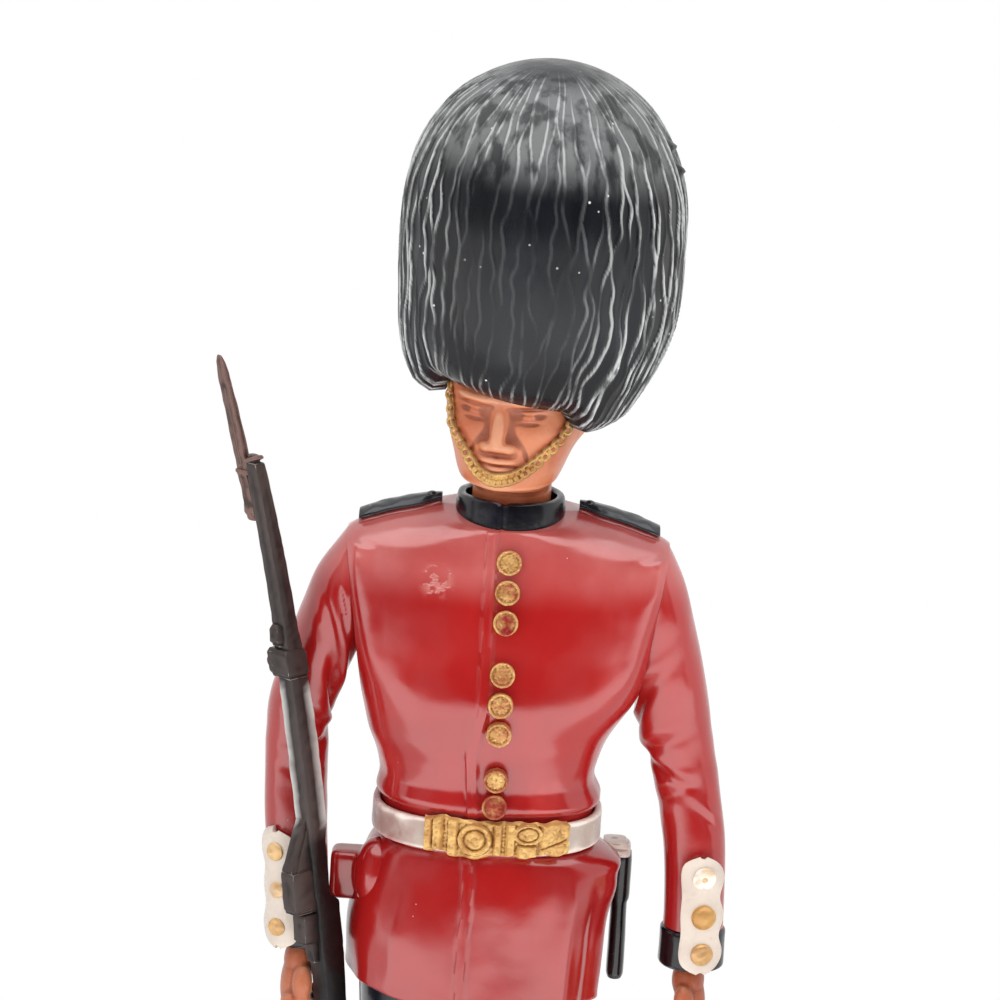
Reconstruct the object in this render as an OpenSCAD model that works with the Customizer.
// Toy guardsman in full dress, standing at attention with a shouldered rifle.
// Millimetres, +Z up, the figure faces -Y, origin at the middle of the base's underside.
// The cast body carries a plug-in head and two plug-in arms, and the right hand holds a moulded rifle.

/* [Base] */
// Width of the base plate, across the figure
base_w = 25; // [20:0.5:34]
// Depth of the base plate, front to back
base_d = 18; // [16:0.5:26]
// Thickness of the base plate
base_t = 2.2; // [1.8:0.1:4]
// Radius of the base plate's corners
base_corner_r = 3.5; // [1.5:0.5:6]
// Width of the step round the base's top
base_step = 0.5; // [0.2:0.1:1]
// Height of the step round the base's top
base_step_h = 0.5; // [0.2:0.1:0.8]

/* [Legs] */
// Height of the tunic's hem above the soles
leg_len = 26.4; // [22:0.2:30]
// Height of the boots, sole to trouser bottom
boot_h = 3.6; // [3:0.1:5]
// Length of a boot
boot_len = 8.2; // [7:0.1:9.5]
// Width of a boot
boot_w = 2.9; // [2.4:0.1:3.4]
// Angle that each foot turns out
foot_turn = 20; // [0:1:30]
// Width of a thigh at the hem
thigh_w = 4.7; // [4:0.1:4.9]
// Width of a trouser bottom
trouser_w = 3.2; // [2.8:0.1:3.8]
// Radius of the peg under each boot
boot_peg_r = 0.8; // [0.5:0.05:1]
// Length of the peg under each boot
boot_peg_len = 1.4; // [0.8:0.1:1.6]

/* [Tunic] */
// Length of the tunic's skirt, belt to hem
skirt_len = 6.1; // [5:0.1:9]
// Width of the skirt at the hem
hem_w = 10.6; // [10:0.1:11.2]
// Depth of the skirt at the hem
hem_d = 8.5; // [7.5:0.1:9.5]
// Width of the waist under the belt
waist_w = 8.75; // [8:0.05:9.5]
// Depth of the waist under the belt
waist_d = 6.7; // [6:0.1:8]
// How far the waist sits to the figure's right
waist_shift = 0.2; // [0:0.05:0.3]
// How far the hem sits to the figure's right
hem_shift = 0.48; // [0:0.02:0.5]
// How far the skirt's fold stands out over the left hip
hip_fold = 0.3; // [0:0.05:0.4]
// Height from the belt's top to the neck
torso_len = 12.35; // [10.5:0.05:14]
// Width of the chest below the arms
chest_w = 11.1; // [10.6:0.1:12.2]
// Depth of the chest
chest_d = 7.8; // [7:0.1:9]
// Width across the shoulders, before the arms' flat seats are cut
shoulder_w = 13.4; // [12.6:0.1:14.4]
// Width of the tunic's neck
neck_base_w = 5.3; // [5.1:0.1:6]
// Height of the raised edge down the front
front_edge_h = 0.13; // [0.05:0.01:0.25]

/* [Belt] */
// Height of the belt
belt_h = 1.5; // [1.2:0.1:2]
// Thickness of the belt
belt_t = 0.32; // [0.2:0.02:0.6]
// Height of the belt's clasp
clasp_h = 1.85; // [1.4:0.05:2.2]
// Half of the angle that the clasp spans round the waist
clasp_half_angle = 38; // [30:1:50]
// Thickness of the clasp's plate
clasp_t = 0.26; // [0.15:0.01:0.4]
// Diameter of the clasp's round middle
clasp_disc_d = 1.9; // [1.2:0.1:2.2]

/* [Buttons] */
// Diameter of a tunic button
button_d = 1.04; // [0.7:0.02:1.14]
// Height of a tunic button
button_h = 0.38; // [0.2:0.02:0.6]
// Spacing of the buttons within a group of three
button_pitch = 1.18; // [1.16:0.02:1.4]
// Spacing of the groups of buttons
button_group_pitch = 4.4; // [4.2:0.1:5]
// Distance of the first button below the neck
button_drop = 1.65; // [1.4:0.05:2.2]

/* [Collar and straps] */
// Outer radius of the collar
collar_r = 2.3; // [2.15:0.05:2.5]
// Thickness of the collar's wall
collar_t = 0.4; // [0.25:0.05:0.55]
// Height of the collar
collar_h = 1.75; // [1.3:0.05:2]
// Depth of the collar's floor below the tunic's neck
collar_sink = 1.15; // [0.9:0.05:1.4]
// Width of a shoulder strap
strap_w = 1.2; // [0.9:0.1:1.8]
// Length of a shoulder strap, measured across the figure
strap_len = 3.2; // [2.4:0.1:3.4]
// Thickness of a shoulder strap
strap_t = 0.32; // [0.2:0.02:0.5]

/* [Arms] */
// Distance of the arm's flat seat from the middle, at the armpit
seat_x = 5.6; // [5.4:0.05:6]
// Height of the armpit above the belt's top
armpit_h = 4.2; // [3.4:0.1:5]
// Tilt of the arm's flat seat from upright
seat_tilt = 8; // [5:0.5:10]
// Place of the shoulder peg, as a share of the way from the armpit to the arm's top
peg_share = 0.65; // [0.55:0.01:0.7]
// Distance of the arm's top below the neck
arm_drop = 0.94; // [0.9:0.02:1.4]
// Radius of the shoulder peg
peg_r = 1; // [0.7:0.05:1.2]
// Length of the shoulder peg inside the tunic
peg_len = 2.4; // [1.5:0.1:3]
// Length of an arm, armpit to cuff
sleeve_len = 9; // [8:0.1:11]
// Radius of a sleeve at the forearm
forearm_r = 1.27; // [1.1:0.02:1.45]
// Radius of a sleeve at the elbow
elbow_r = 1.4; // [1.25:0.02:1.6]
// Height of a cuff
cuff_h = 1.65; // [1.2:0.05:2.2]
// How far a cuff stands proud of its sleeve
cuff_t = 0.1; // [0.05:0.01:0.2]
// Length of the white flap on a cuff
flap_len = 4.7; // [4:0.1:6]
// Half of the flap's width
flap_half_w = 0.78; // [0.6:0.02:0.95]
// Thickness of the flap
flap_t = 0.22; // [0.12:0.01:0.35]
// Diameter of a cuff button
cuff_button_d = 1.0; // [0.7:0.02:1.2]
// Length of a fist
fist_len = 3.5; // [3:0.1:4.2]
// Half of a fist's width, across the figure
fist_rx = 0.88; // [0.8:0.02:0.96]
// Half of a fist's depth, front to back
fist_ry = 1.5; // [1.3:0.05:1.8]

/* [Head] */
// Turn of the head to the figure's right
head_turn = 12; // [-30:1:30]
// Nod of the head
head_nod = 3; // [0:0.5:8]
// Lean of the head to the figure's left
head_lean = 1.5; // [-5:0.5:5]
// Half of the face's width at the cheekbones
face_rx = 2.75; // [2.4:0.05:3]
// Half of the head's depth, brow to back
head_ry = 3.1; // [2.8:0.05:3.4]
// Radius of the neck
neck_r = 1.6; // [1.4:0.05:1.7]
// Height from the chin to the cap's brim
face_h = 4.2; // [3.6:0.1:4.6]
// Height of the chin above the collar's top
chin_h = 0.75; // [0.6:0.05:1.4]
// Height of the nose
nose_h = 0.62; // [0.3:0.02:0.9]
// Radius of the neck's peg
neck_peg_r = 1.3; // [0.9:0.05:1.35]
// Length of the neck's peg below the collar's floor
neck_peg_len = 2.4; // [1.5:0.1:3.5]

/* [Bearskin cap] */
// Height of the cap, brim to crown
cap_h = 12.95; // [10:0.05:15]
// Half of the cap's width
cap_rx = 5.6; // [5:0.05:6.5]
// Half of the cap's depth
cap_ry = 6; // [5.2:0.05:6.8]
// Half of the cap's width at the brim
brim_rx = 4.1; // [3.8:0.05:4.8]
// How far the cap sits off the head's middle, to the figure's left
cap_off = 0.5; // [0:0.05:0.6]
// How much lower the brim lies at the nape than at the brow
brim_drop = 1.3; // [0.5:0.1:2]
// How much lower the brim lies on the figure's left than in the middle
brim_skew = 0.65; // [0:0.05:0.8]
// How far the head reaches up into the cap
crown_h = 1.8; // [1:0.1:2.6]
// Number of fur ridges round the cap
fur_ridges = 20; // [14:1:24]
// Height of a fur ridge
fur_h = 0.2; // [0.05:0.01:0.35]

/* [Chin chain] */
// Number of links in the chain
chain_links = 15; // [11:2:15]
// Radius of a link, to the middle of its wire
link_r = 0.21; // [0.14:0.01:0.22]
// Radius of a link's wire
link_wire_r = 0.085; // [0.06:0.005:0.1]

/* [Rifle] */
// Distance of the rifle from the middle, at the grip
grip_x = 6.5; // [6.4:0.02:6.7]
// Height of the grip above the soles
grip_z = 26.8; // [24:0.1:29]
// Distance of the rifle in front of the arm's middle
rifle_front = 2.25; // [2.1:0.05:2.8]
// Lean of the rifle at the grip
rifle_lean = 6; // [2:0.2:7]
// Radius that the rifle is bowed to
rifle_bow_r = 140; // [100:5:400]
// Turn of the rifle about its own length, which brings the magazine to the outer side
rifle_roll = 40; // [20:1:55]
// Length of the butt below the grip
butt_len = 8.6; // [7:0.1:10]
// Length from the grip to the muzzle
barrel_len = 21.6; // [18:0.1:24]
// Half of the stock's thickness
stock_t = 0.42; // [0.3:0.01:0.46]
// Half of the handguard's depth
guard_d = 0.52; // [0.4:0.01:0.65]
// Radius of the barrel
barrel_r = 0.27; // [0.2:0.01:0.35]
// Length of the magazine, along the rifle
magazine_len = 2; // [1.5:0.1:2.6]
// How far the magazine stands out of the stock
magazine_out = 1.25; // [0.8:0.05:1.5]
// Radius of the peg that holds the rifle in the fist
grip_peg_r = 0.42; // [0.3:0.01:0.5]
// Length of the bayonet's blade
blade_len = 4; // [3.5:0.1:6]
// Half of the blade's width
blade_w = 0.3; // [0.2:0.01:0.4]

/* [Scabbard] */
// Length of the scabbard
scabbard_len = 5.2; // [4:0.1:6.5]
// Half of the scabbard's thickness
scabbard_rx = 0.36; // [0.25:0.01:0.45]
// Half of the scabbard's depth
scabbard_ry = 0.62; // [0.4:0.02:0.8]
// Place of the scabbard behind the figure's middle
scabbard_y = 1.3; // [1:0.1:1.8]

/* [Hidden] */
$fn = 48;

// Clearances
seat_gap = 0.1;        // between an arm's flat seat and the tunic
peg_clear = 0.05;      // round a peg that turns
fixed_clear = 0.03;    // round a piece that is fixed in its seat

// Colours
scarlet = [0.72, 0.07, 0.08];
navy = [0.05, 0.06, 0.1];
white_paint = [0.92, 0.91, 0.88];
gold_paint = [0.76, 0.56, 0.2];
flesh = [0.72, 0.4, 0.26];
fur_black = [0.07, 0.07, 0.08];
rifle_brown = [0.2, 0.15, 0.14];
base_green = [0.13, 0.25, 0.13];

// Levels, each from the one below
sole_z = base_t;
boot_top_z = sole_z + boot_h;
hem_z = sole_z + leg_len;
belt_z = hem_z + skirt_len;
belt_top_z = belt_z + belt_h;
neck_z = belt_top_z + torso_len;
collar_floor_z = neck_z - collar_sink;
collar_top_z = collar_floor_z + collar_h;
armpit_z = belt_top_z + armpit_h;
arm_top_z = neck_z - arm_drop;
peg_z = armpit_z + peg_share * (arm_top_z - armpit_z);
cuff_top_z = armpit_z - sleeve_len;
cuff_end_z = cuff_top_z - cuff_h;

// Numbers of facets
torso_steps = 18;
skirt_steps = 10;
leg_steps = 10;
sleeve_steps = 20;
head_steps = 24;
cap_steps = 17;
oval_sides = 24;

// Shaping functions
function mix(a, b, t) = a + (b - a) * t;
function ease(t) = let(c = min(max(t, 0), 1)) c * c * (3 - 2 * c);
function bell(d, w) = exp(-pow(d / w, 2));
function rounded(c, e) = (c < 0 ? -1 : 1) * pow(abs(c), 2 / e);
function mean(pts) = [for (k = [0:2])
    let(col = [for (p = pts) p[k]]) (col * [for (p = pts) 1]) / len(pts)];

// A row of a profile is [height, value, value ...].
// along() reads the profile at a height, as a smooth curve.
function row_at(rows, z, i = 0) = (i >= len(rows) - 2 || z <= rows[i + 1][0]) ? i : row_at(rows, z, i + 1);
function row_slope(rows, i) = let(a = max(i - 1, 0), b = min(i + 1, len(rows) - 1))
    (rows[b] - rows[a]) / (rows[b][0] - rows[a][0]);
function along(rows, z) =
    let(
        i = row_at(rows, z),
        h = rows[i + 1][0] - rows[i][0],
        t = (z - rows[i][0]) / h
    )
    rows[i] * (2 * pow(t, 3) - 3 * t * t + 1) + row_slope(rows, i) * h * (pow(t, 3) - 2 * t * t + t)
    + rows[i + 1] * (3 * t * t - 2 * pow(t, 3)) + row_slope(rows, i + 1) * h * (pow(t, 3) - t * t);

// An oval ring of points at one height
function oval(cx, cy, z, rx, ry, e = 2, sides = oval_sides) =
    [for (i = [0:sides - 1])
        let(a = 360 * i / sides)
        [cx + rx * rounded(cos(a), e), cy + ry * rounded(sin(a), e), z]];

// A closed skin over rings of points that are stacked upwards
module skin(rings) {
    n = len(rings[0]);
    m = len(rings);
    points = concat([for (r = rings) each r], [mean(rings[0]), mean(rings[m - 1])]);
    sides = [for (j = [0:m - 2], i = [0:n - 1])
        let(a = j * n + i, b = j * n + (i + 1) % n) each [[a, a + n, b], [b, a + n, b + n]]];
    low_cap = [for (i = [0:n - 1]) [m * n, i, (i + 1) % n]];
    high_cap = [for (i = [0:n - 1]) [m * n + 1, (m - 1) * n + (i + 1) % n, (m - 1) * n + i]];
    polyhedron(points, concat(sides, low_cap, high_cap), convexity = 8);
}

// Heights from a to b in equal steps
function levels(a, b, steps) = [for (i = [0:steps]) mix(a, b, i / steps)];

// A domed disc with a straight edge, standing on z = 0
dome_edge = 0.1;
module dome(d, h) {
    rise = h - dome_edge;
    ball_r = (d * d / 4 + rise * rise) / (2 * rise);
    intersection() {
        cylinder(d = d, h = h);
        translate([0, 0, h - ball_r]) sphere(ball_r);
    }
}

// Arm seats: a flat face on each side of the tunic, and the peg's axis square to it
seat_n = [cos(seat_tilt), 0, -sin(seat_tilt)];
function seat_at(z) = seat_x + (z - armpit_z) * tan(seat_tilt);
function off_seat(p) = (abs(p[0]) - seat_x) * seat_n[0] + (p[2] - armpit_z) * seat_n[2];
function move_on_seat(p, d) = [p[0] + (p[0] < 0 ? -1 : 1) * d * seat_n[0], p[1], p[2] + d * seat_n[2]];
function inside_seat(p) = let(s = off_seat(p) + seat_gap / 2) s > 0 ? move_on_seat(p, -s) : p;
function outside_seat(p) = let(s = off_seat(p) - seat_gap / 2) s < 0 ? move_on_seat(p, -s) : p;

// Turns +Z to the left peg's axis, with its origin where the axis meets the seat
module at_left_peg() {
    translate([seat_at(peg_z), 0.1, peg_z]) rotate([0, 90 + seat_tilt, 0]) children();
}

// Base plate
function rounded_rectangle(w, d, r, steps = 6) =
    [for (q = [0:3], i = [0:steps])
        let(a = 90 * q + 90 * i / steps, sx = (q == 0 || q == 3) ? 1 : -1, sy = q < 2 ? 1 : -1)
        [sx * (w / 2 - r) + r * cos(a), sy * (d / 2 - r) + r * sin(a)]];

boot_x = trouser_w / 2 + 0.35;
boot_y = 0.2;

// A slab with a lower step round its top
module base_plate() {
    color(base_green) difference() {
        union() {
            linear_extrude(base_t - base_step_h) polygon(rounded_rectangle(base_w, base_d, base_corner_r));
            translate([0, 0, base_t / 4]) linear_extrude(base_t * 3 / 4)
                polygon(rounded_rectangle(base_w - 2 * base_step, base_d - 2 * base_step,
                    base_corner_r - base_step));
        }
        for (side = [-1, 1]) translate([side * boot_x, boot_y, base_t - boot_peg_len - fixed_clear])
            cylinder(r = boot_peg_r + fixed_clear, h = boot_peg_len + base_t);
    }
}

// Boots and trousers, for the left leg
sole_t = 0.45;
module boot() {
    heel = boot_len * 0.24;
    rows = [
        [0, boot_w / 2, boot_len / 2 - heel, boot_len / 2],
        [sole_t, boot_w / 2, boot_len / 2 - heel, boot_len / 2],
        [sole_t + 0.05, boot_w / 2 - 0.12, boot_len / 2 - heel - 0.03, boot_len / 2 - 0.14],
        [boot_h * 0.4, boot_w / 2 - 0.12, boot_len * 0.43 - heel, boot_len * 0.42],
        [boot_h * 0.62, boot_w / 2 - 0.2, boot_len * 0.32 - heel, boot_len * 0.31],
        [boot_h * 0.85, boot_w / 2 - 0.2, boot_len * 0.22 - heel, boot_len * 0.215],
        [boot_h, boot_w / 2 - 0.2, boot_len * 0.2 - heel, boot_len * 0.2]
    ];
    translate([boot_x, boot_y, sole_z]) rotate([0, 0, foot_turn]) {
        skin([for (r = rows) oval(0, -r[2], r[0], r[1], r[3], 2.5)]);
        translate([0, 0, -boot_peg_len]) cylinder(r = boot_peg_r, h = boot_peg_len + sole_t);
    }
}

leg_shift = hem_shift * 0.6;
leg_rows = [
    [boot_top_z, boot_x, 0.2, trouser_w / 2, trouser_w * 0.58],
    [mix(boot_top_z, hem_z, 0.28), boot_x + 0.02, 0.3, trouser_w / 2 + 0.14, trouser_w * 0.6],
    [mix(boot_top_z, hem_z, 0.52), boot_x + 0.1, 0.1,
        mix(trouser_w, thigh_w, 0.35) / 2, mix(trouser_w, thigh_w, 0.3) * 0.58],
    [mix(boot_top_z, hem_z, 0.78), mix(boot_x, thigh_w / 2, 0.75), 0.05,
        mix(trouser_w, thigh_w, 0.8) / 2, thigh_w * 0.54],
    [hem_z, thigh_w / 2 + 0.1, 0, thigh_w / 2, thigh_w * 0.6]
];
// The tops of both legs follow the hem's shift, which the mirrored leg takes the other way
module trouser_leg(shift) {
    middle_gap = 0.05;
    color(navy) skin([for (z = levels(boot_top_z, hem_z, leg_steps))
        let(r = along(leg_rows, z), over = shift * ease((z - boot_top_z) / (hem_z - boot_top_z)))
        [for (p = oval(r[1], r[2], z, r[3], r[4], 2.2)) [max(p[0], middle_gap) + over, p[1], p[2]]]]);
}

// Tunic: the angles round a section, with three more for the raised front edge
edge_angle = 264;
edge_half_angle = 2;
section_angles = [
    for (a = [0:10:260]) a,
    edge_angle - edge_half_angle, edge_angle, edge_angle + edge_half_angle,
    for (a = [270:10:350]) a
];
tunic_e = 2.4;
// The front of a section leans down, and a fold may stand out at the left hip
fold_angle = 347;
function fold_bell(a) = let(d = abs(a - fold_angle)) bell(min(d, 360 - d), 13);
function tunic_ring(cx, rx, cy, ry, z, edge, lean = 0, fold = 0) =
    [for (a = section_angles)
        let(
            out = a == edge_angle ? edge : 0,
            y = cy + ry * rounded(sin(a), tunic_e) - out
        )
        [cx + rx * rounded(cos(a), tunic_e) + fold * fold_bell(a), y, z + lean * min(y, 0)]];

blouse = 0.25;
function torso_z(f) = belt_top_z + f * torso_len;
// A row of the torso or the skirt is [height, half width, middle y, half depth, middle x]
torso_rows = [
    [belt_z, waist_w / 2, 0, waist_d / 2, -waist_shift],
    [belt_top_z, waist_w / 2, 0, waist_d / 2, -waist_shift],
    [torso_z(0.035), waist_w / 2 + blouse, -0.03, waist_d / 2 + blouse, -waist_shift],
    [torso_z(0.1), waist_w / 2 + 0.04, -0.06, waist_d / 2 + 0.12, -waist_shift * 1.5],
    [torso_z(0.17), mix(waist_w, chest_w, 0.17) / 2,
        -0.08, mix(waist_d, chest_d, 0.35) / 2, -waist_shift * 1.7],
    [torso_z(0.25), mix(waist_w, chest_w, 0.5) / 2, -0.1, mix(waist_d, chest_d, 0.65) / 2, -waist_shift * 1.8],
    [torso_z(0.4), chest_w / 2, -0.12, chest_d / 2, -waist_shift],
    [torso_z(0.56), mix(chest_w, shoulder_w, 0.5) / 2, 0.03, chest_d * 0.473, -waist_shift * 0.4],
    [torso_z(0.7), mix(chest_w, shoulder_w, 0.95) / 2, 0.08, chest_d * 0.431, 0],
    [torso_z(0.82), shoulder_w / 2, -0.03, chest_d * 0.378, 0],
    [torso_z(0.907), shoulder_w * 0.468, -0.06, chest_d * 0.347, 0],
    [torso_z(0.962), mix(neck_base_w, shoulder_w, 0.5) / 2, -0.035, chest_d * 0.331, 0],
    [torso_z(0.9895), mix(neck_base_w, shoulder_w, 0.2) / 2, 0.03, chest_d * 0.327, 0],
    [neck_z, neck_base_w / 2, 0.07, chest_d * 0.324, 0]
];
neck_lean = 0.2;
function lean_at(z) = neck_lean * ease((z - torso_z(0.6)) / (neck_z - torso_z(0.6)));
function level_front(z) = let(r = along(torso_rows, z)) r[2] - r[3];
// Front of the tunic at a true height: finds by halving the section whose front has leaned down to it
function front_level(z, lo = belt_z, hi = neck_z, n = 18) =
    let(m = (lo + hi) / 2)
    n == 0 ? m
    : m + lean_at(m) * level_front(m) > z ? front_level(z, lo, m, n - 1)
    : front_level(z, m, hi, n - 1);
function torso_front(z) = level_front(front_level(z));

module tunic_body() {
    low_levels = [belt_z, belt_top_z - 0.02];
    color(scarlet) difference() {
        skin([for (z = concat(low_levels, levels(belt_top_z + 0.15, neck_z, torso_steps)))
            let(r = along(torso_rows, z), edge = z > belt_top_z ? front_edge_h : 0)
            [for (p = tunic_ring(r[4], r[1], r[2], r[3], z, edge, lean_at(z))) inside_seat(p)]]);
        // Seat of the collar and bore of the neck's peg
        translate([0, 0, collar_floor_z]) cylinder(r = collar_r + fixed_clear, h = 4);
        translate([0, 0, collar_floor_z - neck_peg_len - peg_clear])
            cylinder(r = neck_peg_r + peg_clear, h = 8);
        // Bores of the shoulder pegs
        for (side = [0, 1]) mirror([side, 0, 0]) at_left_peg()
            translate([0, 0, -peg_len - peg_clear]) cylinder(r = peg_r + peg_clear, h = peg_len + 2);
    }
}

skirt_rows = [
    [hem_z, hem_w / 2, 0, hem_d / 2, -hem_shift],
    [mix(hem_z, belt_z, 0.42), mix(waist_w, hem_w, 1.05) / 2,
        0, mix(waist_d, hem_d, 0.83) / 2, -hem_shift * 0.73],
    [mix(hem_z, belt_z, 0.77), mix(waist_w, hem_w, 0.89) / 2,
        0, mix(waist_d, hem_d, 0.53) / 2, -waist_shift * 0.5],
    [mix(hem_z, belt_z, 0.93), mix(waist_w, hem_w, 0.48) / 2,
        0, mix(waist_d, hem_d, 0.24) / 2, -waist_shift * 0.65],
    [belt_z, waist_w / 2, 0, waist_d / 2, -waist_shift]
];
function skirt_left(z) = let(r = along(skirt_rows, z)) r[4] + r[1];
fold_z = mix(hem_z, belt_z, 0.76);
// A cast stub on the right hip that the rifle lies against
rest_h = 2.1;
rest_d = 1.5;
rest_out = 1;
module tunic_skirt() {
    rest_z = mix(hem_z, belt_z, 0.67);
    rest = along(skirt_rows, rest_z);
    color(scarlet) union() {
        skin([for (z = levels(hem_z, belt_z, skirt_steps)) let(r = along(skirt_rows, z))
            tunic_ring(r[4], r[1], r[2], r[3], z, front_edge_h, 0, hip_fold * bell(z - fold_z, 0.9))]);
        translate([rest[4] - rest[1] - rest_out, -rest_d / 2 - 0.2, rest_z - rest_h / 2])
            cube([rest_out + 1, rest_d, rest_h]);
    }
}

module tunic_collar() {
    color(navy) translate([0, 0, collar_floor_z + fixed_clear]) difference() {
        cylinder(r1 = collar_r, r2 = collar_r - 0.12, h = collar_h);
        translate([0, 0, -1]) cylinder(r = collar_r - collar_t, h = collar_h + 2);
    }
}

// Height of the shoulder's ridge at a distance from the middle, by halving
function ridge_z(x, lo = torso_z(0.89), hi = neck_z, n = 18) =
    let(z = (lo + hi) / 2)
    n == 0 ? z
    : along(torso_rows, z)[1] > x ? ridge_z(x, z, hi, n - 1)
    : ridge_z(x, lo, z, n - 1);
strap_x = neck_base_w / 2 + 0.08;
strap_y = 0.15;
module shoulder_strap() {
    steps = 7;
    color(navy) rotate([0, 90, 0]) skin([for (i = [0:steps])
        let(
            t = i / steps,
            x = strap_x + strap_len * t,
            z = ridge_z(x) + fixed_clear + 0.04,
            half = strap_w / 2 * (0.55 + 0.45 * ease(3 * t)),
            lean = lean_at(ridge_z(x))
        )
        [for (p = oval(-z - strap_t / 2, strap_y, x, strap_t / 2, half, 4, 12))
            [p[0] - lean * min(p[1], 0), p[1], p[2]]]]);
}

button_x = 0.08;
button_seat = 0.07;    // lifts a flat-backed button off the rounded tunic
// Buttons down the front, in groups of three, as far as the belt leaves room
module tunic_buttons() {
    first_z = neck_z - button_drop;
    color(gold_paint) for (g = [0:2], i = [0:2]) {
        z = first_z - g * button_group_pitch - i * button_pitch;
        fall = (torso_front(z + 0.2) - torso_front(z - 0.2)) / 0.4;
        if (z > belt_top_z + button_d * 0.4)
            translate([button_x, torso_front(z) - button_seat, z]) rotate([90 - atan(fall), 0, 0])
                dome(button_d, button_h);
    }
}

// Belt and its clasp
belt_in = fixed_clear;
function waist_outline(out) =
    [for (p = oval(-waist_shift, 0, 0, waist_w / 2 + out, waist_d / 2 + out, tunic_e, 72)) [p[0], p[1]]];
module waist_belt() {
    color(white_paint) translate([0, 0, belt_z + fixed_clear]) linear_extrude(belt_h - 2 * fixed_clear)
        difference() {
            polygon(waist_outline(belt_in + belt_t));
            polygon(waist_outline(belt_in));
        }
}
clasp_angle = 273;
module belt_clasp() {
    steps = 16;
    inner = belt_in + belt_t + fixed_clear;
    mid_z = belt_z + belt_h / 2;
    color(gold_paint) {
        skin([for (i = [0:steps])
            let(
                a = clasp_angle - clasp_half_angle + 2 * clasp_half_angle * i / steps,
                end = ease(4 * (1 - abs(2 * i / steps - 1)) + 0.55),
                half = clasp_h / 2 * end
            )
            [for (c = [[0, 1], [1, 1], [1, -1], [0, -1]])
                let(out = inner + c[0] * clasp_t)
                [(waist_w / 2 + out) * rounded(cos(a), tunic_e) - waist_shift,
                    (waist_d / 2 + out) * rounded(sin(a), tunic_e), mid_z + c[1] * half]]]);
        translate([-waist_shift - 0.4, -waist_d / 2 - inner - clasp_t / 2, mid_z]) rotate([90, 0, 0])
            cylinder(d = clasp_disc_d, h = 0.45);
    }
}

// Bayonet scabbard in its frog, on the left hip
scabbard_top_z = belt_z - 1.15;
scabbard_x = skirt_left(fold_z) + 2 * fixed_clear + scabbard_rx;
scabbard_in = 0.12;    // how far the scabbard's foot hangs inwards
frog_h = 1.2;
module bayonet_scabbard() {
    low_z = scabbard_top_z - scabbard_len;
    color(navy) skin([
        oval(scabbard_x - scabbard_in, scabbard_y, low_z, scabbard_rx * 0.5, scabbard_ry * 0.5, 2, 16),
        oval(scabbard_x - scabbard_in, scabbard_y, low_z + 0.3, scabbard_rx * 0.95, scabbard_ry * 0.85, 2, 16),
        oval(scabbard_x - scabbard_in / 2, scabbard_y, low_z + scabbard_len * 0.62,
            scabbard_rx * 0.8, scabbard_ry * 0.9, 2, 16),
        oval(scabbard_x, scabbard_y, low_z + scabbard_len * 0.7, scabbard_rx, scabbard_ry, 2, 16),
        oval(scabbard_x, scabbard_y, scabbard_top_z, scabbard_rx, scabbard_ry, 2, 16)
    ]);
}
// The frog's inner face follows the skirt, then the belt
module bayonet_frog() {
    belt_out = waist_w / 2 - waist_shift + belt_in + belt_t + 0.1;
    out_x = scabbard_x + scabbard_rx;
    low_z = scabbard_top_z + fixed_clear;
    color(white_paint) skin([for (f = [[0, 0.08, 0.02], [0.35, 0.08, 0], [0.8, 0.08, 0.05], [1, -0.1, 0.2]])
        let(
            z = low_z + frog_h * f[0],
            in_x = max(skirt_left(min(z, belt_z)) + 2 * fixed_clear, belt_out) + f[2] / 2,
            half = (out_x - f[2] - in_x) / 2
        )
        oval(in_x + half, scabbard_y, z, half, scabbard_ry + f[1], 4, 16)]);
}

// Arms: a row is [height, middle x, middle y, half width, half depth], from the cuff up to the shoulder
function arm_z(f) = cuff_top_z + f * sleeve_len;
function upper_z(f) = mix(armpit_z, arm_top_z, f);
wrist_out = 3;
left_arm_rows = [
    [cuff_end_z, seat_x + wrist_out, -0.55, forearm_r, forearm_r + 0.08],
    [arm_z(0.1), seat_x + wrist_out - 0.02, -0.4, forearm_r - 0.03, forearm_r + 0.05],
    [arm_z(0.4), seat_x + wrist_out - 0.2, 0.05, forearm_r + 0.02, forearm_r + 0.1],
    [arm_z(0.72), seat_x + 2.22, 0.35, elbow_r, elbow_r + 0.08],
    [arm_z(0.9), seat_x + 1.7, 0.35, elbow_r + 0.14, elbow_r + 0.2],
    [upper_z(0.16), seat_x + 1.25, 0.25, elbow_r + 0.22, elbow_r + 0.32],
    [upper_z(0.475), seat_x + 0.72, 0.15, elbow_r + 0.14, elbow_r + 0.4],
    [upper_z(0.7), seat_x + 0.4, 0.1, elbow_r, elbow_r + 0.35],
    [upper_z(0.895), seat_x + 0.28, 0.1, elbow_r - 0.42, elbow_r + 0.05],
    [upper_z(1), seat_x + 0.4, 0.1, elbow_r - 1, elbow_r - 0.6]
];
right_out = 2.1;
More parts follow.
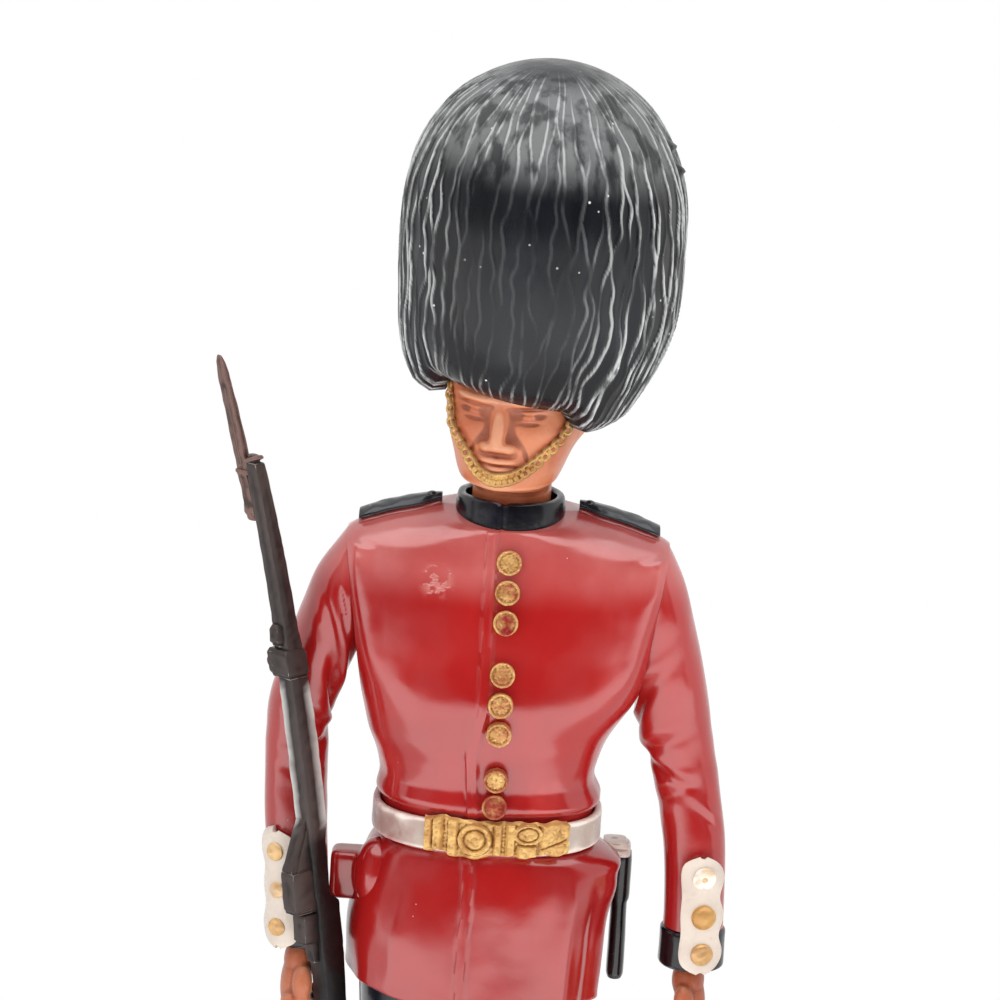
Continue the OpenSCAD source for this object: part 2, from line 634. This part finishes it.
right_arm_rows = [
    [cuff_end_z, seat_x + right_out, -0.5, forearm_r - 0.02, forearm_r + 0.08],
    [arm_z(0.1), seat_x + right_out + 0.12, -0.35, forearm_r - 0.03, forearm_r + 0.05],
    [arm_z(0.4), seat_x + right_out + 0.38, 0.05, forearm_r + 0.02, forearm_r + 0.1],
    [arm_z(0.75), seat_x + right_out + 0.5, 0.35, elbow_r - 0.08, elbow_r + 0.05],
    [arm_z(0.95), seat_x + 2.45, 0.35, elbow_r - 0.05, elbow_r + 0.15],
    [upper_z(0.21), seat_x + 1.85, 0.25, elbow_r + 0.06, elbow_r + 0.3],
    [upper_z(0.5), seat_x + 1.1, 0.15, elbow_r + 0.15, elbow_r + 0.4],
    [upper_z(0.7), seat_x + 0.7, 0.1, elbow_r + 0.05, elbow_r + 0.35],
    [upper_z(0.87), seat_x + 0.45, 0.1, elbow_r - 0.35, elbow_r + 0.05],
    [upper_z(1), seat_x + 0.45, 0.1, elbow_r - 1, elbow_r - 0.6]
];

// The right arm's pieces are drawn on the left side and mirrored
module sleeve(rows) {
    top_z = rows[len(rows) - 1][0];
    color(scarlet) union() {
        skin([for (z = levels(cuff_top_z, top_z, sleeve_steps)) let(r = along(rows, z))
            [for (p = oval(r[1], r[2], z, r[3], r[4], 2.1)) outside_seat(p)]]);
        at_left_peg() translate([0, 0, -peg_len]) cylinder(r = peg_r, h = peg_len + 0.6);
    }
}
module cuff(rows) {
    edge = 0.15;
    color(navy) skin([for (z = [cuff_end_z, cuff_end_z + edge, cuff_top_z - edge, cuff_top_z - fixed_clear])
        let(r = along(rows, z), out = (z > cuff_end_z && z < cuff_top_z - edge / 2) ? cuff_t : cuff_t - 0.08)
        oval(r[1], r[2], z, r[3] + out, r[4] + out, 2.1)]);
}

// A point on the arm's surface, at an angle round it and a distance off it
function arm_point(rows, z, a, out) = let(r = along(rows, z))
    [r[1] + (r[3] + out) * rounded(cos(a), 2.1), r[2] + (r[4] + out) * rounded(sin(a), 2.1), z];

// The flap is three scallops high, one to each button
flap_low_z = cuff_end_z + 0.12;
scallop = 0.22;
module cuff_flap(rows, facing) {
    steps = 18;
    inner = cuff_t + fixed_clear;
    color(white_paint) skin([for (i = [0:steps])
        let(
            z = flap_low_z + flap_len * i / steps,
            end = pow(max(1 - pow(abs(2 * i / steps - 1), 8), 0.08), 0.5),
            half_w = flap_half_w * end * (1 - scallop * pow(cos(540 * i / steps), 2)),
            half_a = half_w / (forearm_r + inner) * 180 / PI
        )
        [for (c = [[1, -1], [1, -0.5], [1, 0], [1, 0.5], [1, 1], [0, 1], [0, 0.5], [0, 0], [0, -0.5], [0, -1]])
            arm_point(rows, z, facing + c[1] * half_a, inner + c[0] * flap_t)]]);
}
module cuff_buttons(rows, facing) {
    color(gold_paint) for (i = [0:2]) {
        z = flap_low_z + flap_len * (2 * i + 1) / 6;
        rise = cuff_t + flap_t + fixed_clear + button_seat + 0.02;
        translate(arm_point(rows, z, facing, rise)) rotate([0, 90, facing]) dome(cuff_button_d, button_h);
    }
}

// A closed fist hanging from the cuff
function fist_rows() = [
    [0, 0.45, 0.5], [0.06, 0.75, 0.72], [0.2, 0.95, 0.9], [0.45, 1, 1],
    [0.7, 0.95, 0.95], [0.88, 0.8, 0.72], [1, 0.78, 0.68]
];
module fist(x, y) {
    low_z = cuff_end_z - fist_len;
    color(flesh) skin([for (t = levels(0, 1, 10)) let(r = along(fist_rows(), t))
        oval(x, y, low_z + t * (fist_len - fixed_clear), fist_rx * r[1], fist_ry * r[2], 2.6, 18)]);
}
left_hand_x = seat_x + wrist_out - 0.05;
left_hand_y = -0.75;
right_hand_x = seat_x + right_out - 0.15;
right_hand_y = 1.1 - rifle_front;
module left_hand() {
    fist(left_hand_x, left_hand_y);
}
// The right fist is hollowed where the rifle's grip lies in it
module right_hand() {
    color(flesh) difference() {
        mirror([1, 0, 0]) fist(right_hand_x, right_hand_y);
        grip_peg(fixed_clear);
        rifle_sweep([for (t = [-5, -2.2, -0.8, 1.2, 3])
            [t, 0, -0.02, stock_t + 2 * fixed_clear, mix(0.75, 0.84, ease((t + 1) / 3))]]);
    }
}

// Rifle: a point is given along the bowed middle line, to the side and to the front
grip_height = sole_z + grip_z;
rifle_y = -rifle_front;
function rifle_point(side, front, t) =
    let(
        s = side * cos(rifle_roll) + front * sin(rifle_roll),
        f = front * cos(rifle_roll) - side * sin(rifle_roll)
    )
    [-grip_x - tan(rifle_lean) * t - t * t / (2 * rifle_bow_r) - s, rifle_y - f, grip_height + t];
function rifle_ring(t, side, front, half_side, half_front, e = 4, sides = 12) =
    [for (p = oval(side, front, t, half_side, half_front, e, sides)) rifle_point(p[0], p[1], p[2])];
module rifle_sweep(rows) {
    skin([for (r = rows) rifle_ring(r[0], r[1], r[2], r[3], r[4])]);
}
module grip_peg(extra = 0) {
    translate([-grip_x, rifle_y + 0.2, grip_height - 0.6]) rotate([0, -90, 0])
        cylinder(r = grip_peg_r + extra, h = right_hand_x - grip_x + 0.15 + extra);
}
// Stands pieces on the rifle's middle line: +X to its side, +Y to its front, +Z along it
module at_rifle(t) {
    translate(rifle_point(0, 0, t)) rotate([0, -atan(tan(rifle_lean) + t / rifle_bow_r), 0])
        rotate([0, 0, 180 - rifle_roll]) children();
}
receiver_len = 5.6;
muzzle_gap = 0.1;
module rifle() {
    guard_t = receiver_len + 0.6;
    band_t = barrel_len * 0.64;
    nose_t = barrel_len * 0.9;
    color(rifle_brown) {
        // Butt, receiver, handguard and gas block in one moulding
        rifle_sweep([
            [-butt_len, 0, -0.2, stock_t * 0.8, 0.95],
            [-butt_len + 0.5, 0, -0.15, stock_t, 0.95],
            [-2.2, 0, -0.05, stock_t, 0.6],
            [-0.8, 0, 0, stock_t, 0.55],
            [1.2, 0, 0, stock_t, 0.72],
            [receiver_len, 0, 0, stock_t, 0.7],
            [guard_t, 0, 0.02, stock_t, guard_d],
            [mix(guard_t, band_t, 0.5), 0, 0.02, stock_t, guard_d],
            [band_t - 0.3, 0, 0.02, stock_t * 0.95, guard_d * 0.9],
            [band_t, 0, 0.02, stock_t * 1.2, guard_d],
            [band_t + 0.8, 0, 0.02, stock_t * 1.2, guard_d],
            [band_t + 1.1, 0, 0, stock_t * 0.9, guard_d * 0.8],
            [mix(band_t, nose_t, 0.7), 0, 0, stock_t * 0.88, guard_d * 0.78],
            [nose_t, 0, 0, stock_t * 0.85, guard_d * 0.75]
        ]);
        at_rifle(nose_t - 0.4) cylinder(r = barrel_r, h = barrel_len - nose_t + 0.4);
        at_rifle(1.9) translate([-stock_t * 0.75, 0.2, 0])
            cube([stock_t * 1.5, magazine_out + 0.2, magazine_len]);
        at_rifle(1.1) translate([0, 0.72, 0]) rotate([0, 90, 0])
            rotate_extrude() translate([0.5, 0]) circle(0.11);
        at_rifle(nose_t - 1) translate([-0.12, -guard_d - 0.35, 0]) cube([0.24, 0.6, 0.4]);
        grip_peg();
    }
}
hilt_len = 2.9;
hilt_r = 0.26;
module bayonet() {
    side = max(barrel_r, stock_t * 0.85) + hilt_r + 2 * fixed_clear;
    cross_t = 0.35;
    color(rifle_brown) {
        rifle_sweep([
            [barrel_len + muzzle_gap + 0.1, side, 0, blade_w, 0.16],
            [barrel_len + blade_len * 0.75, side, 0, blade_w, 0.14],
            [barrel_len + blade_len, side, 0, blade_w * 0.3, 0.05]
        ]);
        at_rifle(barrel_len + muzzle_gap) translate([-0.35, -0.3, 0]) cube([side + 0.75, 0.6, cross_t]);
        at_rifle(barrel_len + muzzle_gap) translate([side, 0, -hilt_len])
            cylinder(r = hilt_r, h = hilt_len + 0.1);
        at_rifle(barrel_len + muzzle_gap) translate([side, 0, -hilt_len]) sphere(hilt_r * 1.15);
    }
}

// Head: built upright about the neck, then nodded, leaned and turned on the collar
module on_neck() {
    translate([0, 0, collar_top_z]) rotate([0, 0, -head_turn]) rotate([head_nod, head_lean, 0]) children();
}
brim_z = chin_h + face_h;
head_rows = [
    [0.2 - collar_h, neck_r, 0, neck_r],
    [chin_h * 0.55, neck_r, 0, neck_r],
    [chin_h * 0.95, neck_r + 0.05, -0.4, neck_r + 0.35],
    [chin_h + 0.3, mix(neck_r, face_rx, 0.3), -0.78, neck_r + 0.85],
    [chin_h + face_h * 0.3, mix(neck_r, face_rx, 0.62), -0.6, head_ry - 0.3],
    [chin_h + face_h * 0.62, face_rx, -0.3, head_ry],
    [brim_z, face_rx + 0.1, -0.1, head_ry + 0.1],
    [brim_z + crown_h * 0.6, face_rx, 0, head_ry],
    [brim_z + crown_h, face_rx * 0.7, 0, head_ry * 0.7]
];
head_angles = [for (a = [0:15:195]) a, for (a = [210:6:330]) a, 345];
// Features of a plain face: height added at an angle from the front and a share of the face's height
function face_relief(a, z) =
    let(v = (z - chin_h) / face_h, s = abs(a))
    nose_h * bell(a, 9 + 5 * (1 - v)) * ease((v - 0.42) / 0.06) * (1 - ease((v - 0.5) / 0.44))
    + 0.1 * bell(a, 16) * bell(v - 0.345, 0.045)
    + 0.1 * bell(a, 15) * bell(v - 0.275, 0.04)
    - 0.08 * bell(a, 13) * bell(v - 0.31, 0.02)
    + 0.16 * bell(a, 18) * bell(v - 0.08, 0.08)
    - 0.22 * bell(s - 24, 11) * bell(v - 0.8, 0.1)
    + 0.12 * bell(s - 24, 9) * bell(v - 0.79, 0.045)
    + 0.14 * bell(s - 20, 20) * bell(v - 0.95, 0.06)
    + 0.12 * bell(s - 40, 16) * bell(v - 0.58, 0.12);
function head_point(angle, z, out = 0) =
    let(
        r = along(head_rows, z),
        a = angle - 270,
        relief = z > chin_h * 0.6 && z < brim_z + 0.6 ? face_relief(a, z) : 0,
        o = relief + out
    )
    [(r[1] + o) * rounded(cos(angle), 2.1), r[2] + (r[3] + o) * rounded(sin(angle), 2.1), z];
module head() {
    neck_low = 0.2 - collar_h;
    color(flesh) union() {
        on_neck() skin([for (z = levels(neck_low, brim_z + crown_h, head_steps))
            [for (a = head_angles) head_point(a, z)]]);
        translate([0, 0, collar_floor_z - neck_peg_len]) cylinder(r = neck_peg_r, h = neck_peg_len + collar_h);
    }
}

// Bearskin cap: a hollow for the head, then the brim, then the fur up to the crown
cap_widest = 0.45;
hollow_out = 0.36;
function cap_swell(h, brim) = h < cap_widest
    ? 1 - (1 - brim) * pow(1 - h / cap_widest, 2.2)
    : sqrt(max(1 - pow((h - cap_widest) / (1 - cap_widest), 2.35), 0));
cap_sides = 80;
function cap_brim_z(a) = brim_z - brim_drop * ease((1 + sin(a)) / 2) - brim_skew * cos(a);
function fur(a, h) =
    let(wave = 38 * sin(300 * h + 2 * a) + 20 * sin(520 * h - 3 * a + 40))
    fur_h * sin(fur_ridges * a + wave) * ease(h / 0.08) * ease((1 - h) / 0.25);
function cap_ring(h) = [for (i = [0:cap_sides - 1])
    let(
        a = 360 * i / cap_sides,
        low = cap_brim_z(a),
        z = mix(low, brim_z + cap_h, h),
        swell = cap_swell(h, brim_rx / cap_rx),
        out = fur(a, h)
    )
    [cap_off * ease(h * 3) + (cap_rx * swell + out) * cos(a), (cap_ry * swell + out) * sin(a), z]];
function cap_hollow_ring(share, z, lift) = [for (i = [0:cap_sides - 1])
    let(a = 360 * i / cap_sides)
    [(face_rx + hollow_out) * share * cos(a), -0.05 + (head_ry + hollow_out) * share * sin(a),
        lift ? cap_brim_z(a) : z]];
module bearskin_cap() {
    hollow_z = brim_z + crown_h + 0.1;
    heights = [for (i = [0:cap_steps]) let(t = i / cap_steps) sin(90 * pow(t, 0.9)) * 0.995];
    color(fur_black) on_neck() skin(concat(
        [cap_hollow_ring(0.9, hollow_z, false), cap_hollow_ring(1, hollow_z - 0.3, false),
            cap_hollow_ring(1, 0, true)],
        [for (h = heights) cap_ring(h)]));
}

// Chin chain: links laid along the jaw from temple to temple
module chin_chain() {
    half_span = 74;
    low_z = chin_h + 0.32;
    link_out = link_r + link_wire_r + 2 * fixed_clear;
    color(gold_paint) on_neck() for (i = [0:chain_links - 1]) {
        s = 2 * i / (chain_links - 1) - 1;
        angle = 270 + half_span * s;
        high_z = cap_brim_z(270 + half_span * sign(s)) - link_out;
        z = mix(low_z, high_z, pow(abs(s), 1.5));
        translate(head_point(angle, z, link_wire_r + 3 * fixed_clear)) rotate([90, 0, angle + 90])
            rotate_extrude() translate([link_r, 0]) circle(link_wire_r);
    }
}

base_plate();
color(navy) boot();  // left_boot
color(navy) mirror([1, 0, 0]) boot();  // right_boot
trouser_leg(-leg_shift);  // left_trouser_leg
mirror([1, 0, 0]) trouser_leg(leg_shift);  // right_trouser_leg
tunic_skirt();
tunic_body();
tunic_collar();
shoulder_strap();  // left_shoulder_strap
mirror([1, 0, 0]) shoulder_strap();  // right_shoulder_strap
tunic_buttons();
waist_belt();
belt_clasp();
bayonet_frog();
bayonet_scabbard();
head();
bearskin_cap();
chin_chain();
sleeve(left_arm_rows);  // left_sleeve
cuff(left_arm_rows);  // left_cuff
cuff_flap(left_arm_rows, 282);  // left_cuff_flap
cuff_buttons(left_arm_rows, 282);  // left_cuff_buttons
left_hand();
mirror([1, 0, 0]) sleeve(right_arm_rows);  // right_sleeve
mirror([1, 0, 0]) cuff(right_arm_rows);  // right_cuff
mirror([1, 0, 0]) cuff_flap(right_arm_rows, 300);  // right_cuff_flap
mirror([1, 0, 0]) cuff_buttons(right_arm_rows, 300);  // right_cuff_buttons
right_hand();
rifle();
bayonet();
